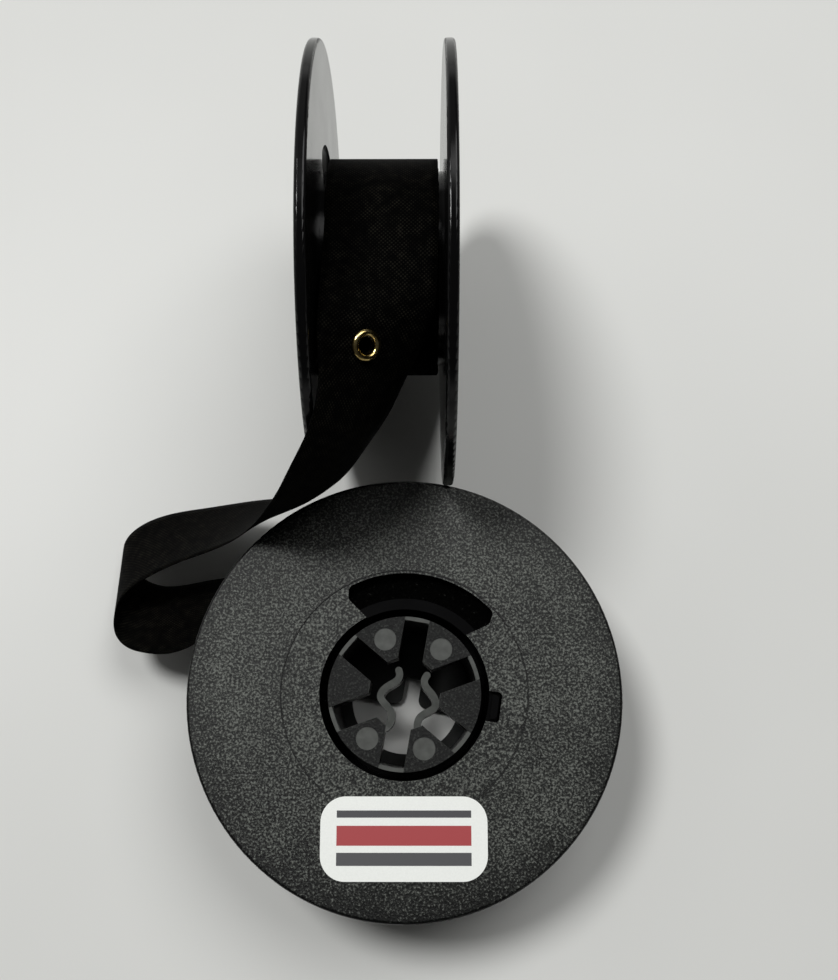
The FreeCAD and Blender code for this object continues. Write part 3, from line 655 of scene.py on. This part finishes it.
eyelet_low, eyelet_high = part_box("ribbon_eyelet")
eyelet_middle = (eyelet_low + eyelet_high) / 2
offsets = points.reshape(-1, 3) - np.array(eyelet_middle) / MM
row, column = divmod(int(np.argmin(np.linalg.norm(offsets, axis=1))), ACROSS + 1)
along = Vector(points[row + 1, column] - points[row - 1, column]).normalized()
across = Vector(points[row, column + 1] - points[row, column - 1]).normalized()
facing = across.cross(along).normalized()

thick = strip.modifiers.new("thickness", "SOLIDIFY")
thick.thickness = CLOTH_THICKNESS * MM
thick.offset = 0.0
punch_mesh = bpy.data.meshes.new("punch")
turned = facing.to_track_quat("Z", "Y").to_matrix()
corners = [2 * math.pi * k / HOLE_SIDES for k in range(HOLE_SIDES)]
ring = [Vector((math.cos(a), math.sin(a), 0)) * HOLE_RADIUS * MM for a in corners]
ends = [eyelet_middle + turned @ (p + Vector((0, 0, height * MM)))
        for height in (-PUNCH_REACH, PUNCH_REACH) for p in ring]
first, last = tuple(range(HOLE_SIDES)), tuple(range(HOLE_SIDES, 2 * HOLE_SIDES))
walls = [(k, (k + 1) % HOLE_SIDES, HOLE_SIDES + (k + 1) % HOLE_SIDES, HOLE_SIDES + k) for k in first]
punch_mesh.from_pydata(ends, [], [first[::-1], last, *walls])
punch = bpy.data.objects.new("punch", punch_mesh)
bpy.context.scene.collection.objects.link(punch)
hole = strip.modifiers.new("hole", "BOOLEAN")
hole.operation = "DIFFERENCE"
hole.solver = "EXACT"
hole.object = punch
solved = strip.evaluated_get(bpy.context.evaluated_depsgraph_get())
finished_cloth = bpy.data.meshes.new_from_object(solved)
strip.modifiers.clear()
strip.data = finished_cloth
bpy.data.objects.remove(punch)
print("cloth faces after the hole:", len(strip.data.polygons))

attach(strip, "root")
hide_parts("free_ribbon")

# %% [markdown]
# ## Brass eyelet
# The eyelet trips the machine's ribbon reverse. It is a short brass tube rolled over at both
# ends, polished by the rollers and a little stained with ink. Its shape comes from CAD, so only
# its metal is made here: a metallic shader whose roughness and tint vary a little.

# %% Brass
BRASS_COLOURS = ((0.30, (0.20, 0.14, 0.05)), (0.50, (0.66, 0.50, 0.20)), (0.75, (0.86, 0.72, 0.38)))


def brass(name):
    material, tree, shader = new_finish(name)
    where = add(tree, "ShaderNodeTexCoord").outputs["Object"]
    stain = noise(tree, where, 1100.0, 3.0)
    tree.links.new(ramp(tree, stain, *BRASS_COLOURS), shader.inputs["Base Color"])
    shader.inputs["Metallic"].default_value = 1.0
    tree.links.new(plus(tree, times(tree, stain, 0.25), 0.08), shader.inputs["Roughness"])
    return material


nodes["ribbon_eyelet"].data.materials.clear()
nodes["ribbon_eyelet"].data.materials.append(brass("rolled_brass"))
print("eyelet middle, mm:", [round(c / MM, 1) for c in eyelet_middle])

# %% [markdown]
# ## Sticker
# A white paper sticker with rounded corners is stuck on the lying spool. It is left without
# words: three plain bars of ink stand where a shop would print its lines. The bars are part of
# the paper's shader, measured from the sticker's middle, because print has no thickness.

# %% Sticker paper
PAPER_COLOURS = ((0.3, (0.88, 0.90, 0.86)), (0.7, (0.93, 0.95, 0.91)))
BAR_HALF_LENGTH = 8.1
BARS = (  # middle above the sticker's middle, half height, ink
    (2.85, 0.42, (0.065, 0.065, 0.07, 1.0)),
    (0.35, 1.15, (0.40, 0.055, 0.06, 1.0)),
    (-2.35, 0.75, (0.08, 0.08, 0.085, 1.0)),
)


def sticker_paper(name):
    low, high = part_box("spool_label")
    material, tree, shader = new_finish(name)
    where = add(tree, "ShaderNodeTexCoord").outputs["Object"]
    placed = add(tree, "ShaderNodeMapping", {"vector_type": "TEXTURE"}, Vector=where)
    placed.inputs["Location"].default_value = (low + high) / 2
    point = in_millimetres(tree, placed.outputs["Vector"])
    x, y, _ = add(tree, "ShaderNodeSeparateXYZ", Vector=point).outputs
    colour = ramp(tree, noise(tree, point, 5.0, 4.0), *PAPER_COLOURS)
    in_length = math_node(tree, "LESS_THAN", math_node(tree, "ABSOLUTE", x), BAR_HALF_LENGTH)
    for centre, half_height, ink in BARS:
        off_centre = math_node(tree, "ABSOLUTE", math_node(tree, "SUBTRACT", y, centre))
        in_height = math_node(tree, "LESS_THAN", off_centre, half_height)
        colour = blend(tree, times(tree, in_height, in_length), colour, ink)
    tree.links.new(colour, shader.inputs["Base Color"])
    shader.inputs["Roughness"].default_value = 0.45
    return material


nodes["spool_label"].data.materials.clear()
nodes["spool_label"].data.materials.append(sticker_paper("sticker_paper"))
print("sticker done")

# %% [markdown]
# ## Table, light and surroundings
# The spools stand on a plain pale tabletop. A smaller lamp at the back left throws the standing
# spool's shadow to the right. A larger lamp at the back right softens it, and sends the lying
# spool's shadow to the front. The walls are pale and the ceiling is dim, so polished black
# plastic stays black. The table and the lamps are only the stage.

# %% Table
TABLE_HALF = 1.5
TABLE_COLOURS = ((0.3, (0.685, 0.69, 0.665)), (0.7, (0.72, 0.725, 0.70)))


def table_top():
    mesh = bpy.data.meshes.new("table")
    signs = ((-1, -1), (1, -1), (1, 1), (-1, 1))
    mesh.from_pydata([(x * TABLE_HALF, y * TABLE_HALF, 0) for x, y in signs], [], [(0, 1, 2, 3)])
    table = bpy.data.objects.new("table", mesh)
    bpy.context.scene.collection.objects.link(table)
    material, tree, shader = new_finish("pale_laminate")
    where = add(tree, "ShaderNodeTexCoord").outputs["Object"]
    haze = noise(tree, where, 14.0, 3.0)
    tree.links.new(ramp(tree, haze, *TABLE_COLOURS), shader.inputs["Base Color"])
    shader.inputs["Roughness"].default_value = 0.5
    mesh.materials.append(material)
    return table


table_top()
print("table side, m:", 2 * TABLE_HALF)

# %% Light
LAMPS = {  # place in metres, diameter in metres, watts
    "left_lamp": ((-0.42, 0.40, 1.10), 0.34, 8.4),
    "right_lamp": ((0.40, 0.58, 1.05), 0.80, 6.4),
}
DIM_CEILING = 0.03
PALE_WALLS = 0.55
BRIGHT_SIDE = 0.40
BRIGHT_TOWARDS = Vector((-0.62, 0.64, 0.40)).normalized()
ROOM_TINT = (1.0, 1.0, 0.985, 1.0)


def soft_lamp(name, place, size, watts):
    data = bpy.data.lights.new(name, "AREA")
    data.shape = "DISK"
    data.size = size
    data.energy = watts
    lamp = bpy.data.objects.new(name, data)
    bpy.context.scene.collection.objects.link(lamp)
    lamp.location = place
    lamp.rotation_euler = (-Vector(place)).to_track_quat("-Z", "Y").to_euler()


def room_light():
    """Pale walls all round, a bright side at the back left, and a dim ceiling."""
    world = bpy.data.worlds.new("room")
    bpy.context.scene.world = world
    world.use_nodes = True
    tree = world.node_tree
    way = add(tree, "ShaderNodeTexCoord").outputs["Generated"]
    side = add(tree, "ShaderNodeVectorMath", {"operation": "DOT_PRODUCT"}, i0=way, i1=BRIGHT_TOWARDS)
    bright_side = times(tree, step_between(tree, side.outputs["Value"], 0.62, 0.96), BRIGHT_SIDE)
    height = add(tree, "ShaderNodeSeparateXYZ", Vector=way).outputs["Z"]
    low = step_between(tree, times(tree, height, -1.0), -0.22, -0.04)
    level = plus(tree, plus(tree, times(tree, low, PALE_WALLS), DIM_CEILING), bright_side)
    background = tree.nodes["Background"]
    tree.links.new(level, background.inputs["Strength"])
    background.inputs["Color"].default_value = ROOM_TINT


for lamp_name, (place, size, watts) in LAMPS.items():
    soft_lamp(lamp_name, place, size, watts)
room_light()
print("lamps:", ", ".join(LAMPS))
